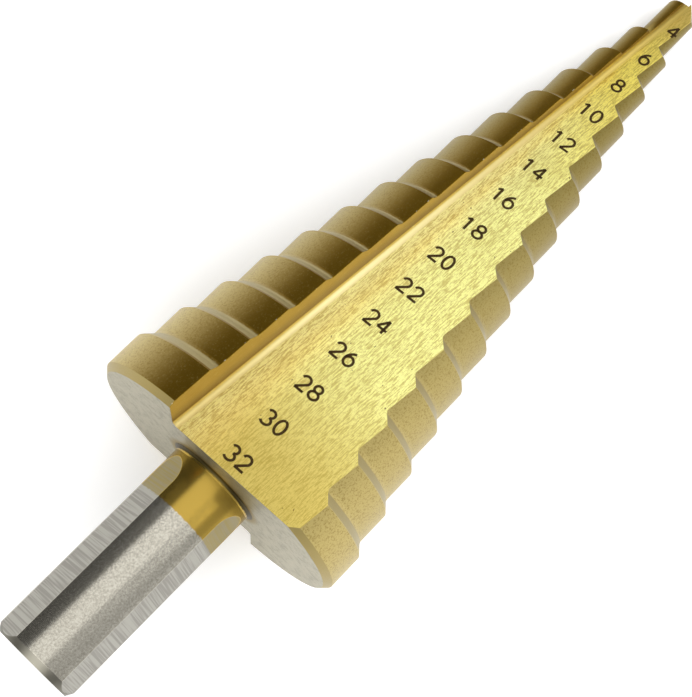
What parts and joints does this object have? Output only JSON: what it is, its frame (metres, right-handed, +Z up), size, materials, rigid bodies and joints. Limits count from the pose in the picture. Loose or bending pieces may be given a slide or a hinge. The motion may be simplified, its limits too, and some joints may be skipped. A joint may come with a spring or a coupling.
{
  "type": "step drill",
  "caption": "Stepped cone drill with straight V flutes and a flatted shank, for drilling and widening holes in sheet metal.",
  "frame": {"origin": "centre of the base of the bounding box: on the table, midway between the point and the shank's end", "axes": "+X along the drill towards its point, +Z up from the table it lies on, with one flute facing up and the other facing the table"},
  "size_m": [0.102, 0.032, 0.0277],
  "materials": {
    "coated_steel": "ground tool steel with a gold nitride coating on the cone and neck, and a bare ground shank and rear face"
  },
  "bodies": {
    "root": {"step_drill": "coated_steel"}
  },
  "joints": []
}
